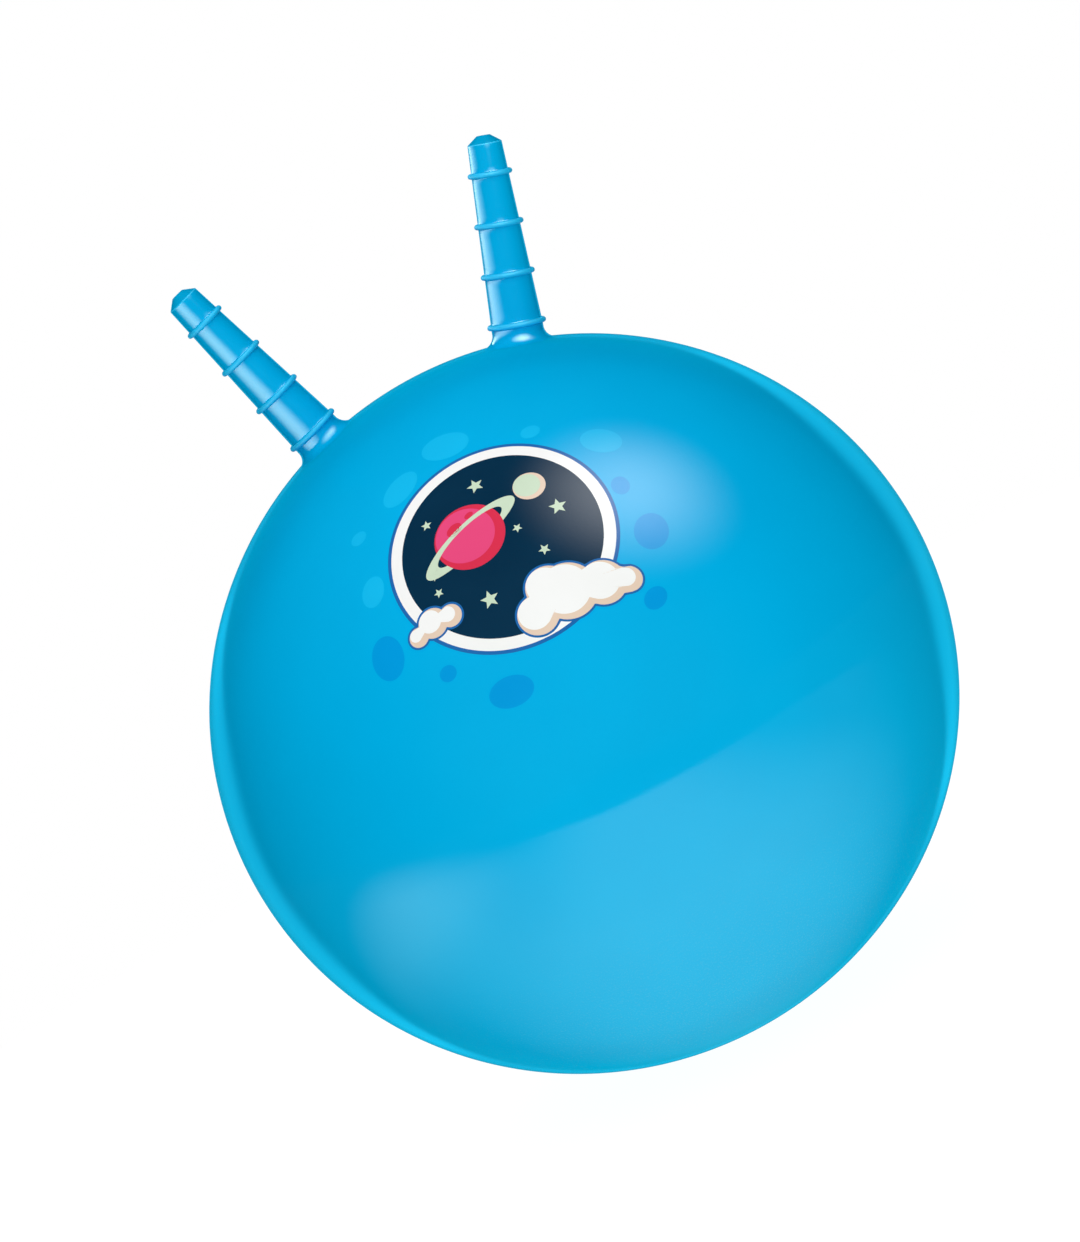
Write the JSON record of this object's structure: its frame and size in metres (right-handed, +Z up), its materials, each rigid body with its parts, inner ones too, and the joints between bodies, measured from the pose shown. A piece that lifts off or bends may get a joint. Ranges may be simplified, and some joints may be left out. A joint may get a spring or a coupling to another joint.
{
  "type": "hopper ball",
  "caption": "Blown-up bouncing ball to sit and hop on, with ribbed horns to hold, a flat resting patch and a plugged air valve at the back.",
  "frame": {"origin": "on the floor, under the middle of the ball", "axes": "+Z up, the print faces -Y, the valve faces +Y, the horns lean out towards -X and +X"},
  "size_m": [0.45, 0.4496, 0.5468],
  "materials": {
    "skin": "glossy moulded soft vinyl, cyan blue",
    "valve": "satin moulded soft vinyl, a little deeper blue",
    "plug": "matt white polythene"
  },
  "bodies": {
    "ball": {"ball_skin": "skin", "valve_seat": "valve"},
    "horn_left": {"left_horn": "skin"},
    "horn_right": {"right_horn": "skin"},
    "plug": {"valve_plug": "plug"}
  },
  "joints": [
    {"name": "left_horn_flex", "type": "hinge", "parent": "ball", "child": "horn_left", "pos_m": [-0.06518, 0, 0.42789], "axis": [0.9553, 0, 0.2957], "range_deg": [-20, 20], "stiffness_Nm_per_rad": 5.7},
    {"name": "right_horn_flex", "type": "hinge", "parent": "ball", "child": "horn_right", "pos_m": [0.06518, 0, 0.42789], "axis": [0.9553, 0, -0.2957], "range_deg": [-20, 20], "stiffness_Nm_per_rad": 5.7},
    {"name": "plug_pull", "type": "slide", "parent": "ball", "child": "plug", "axis": [0, 1, 0], "range_m": [0, 0.022]}
  ]
}
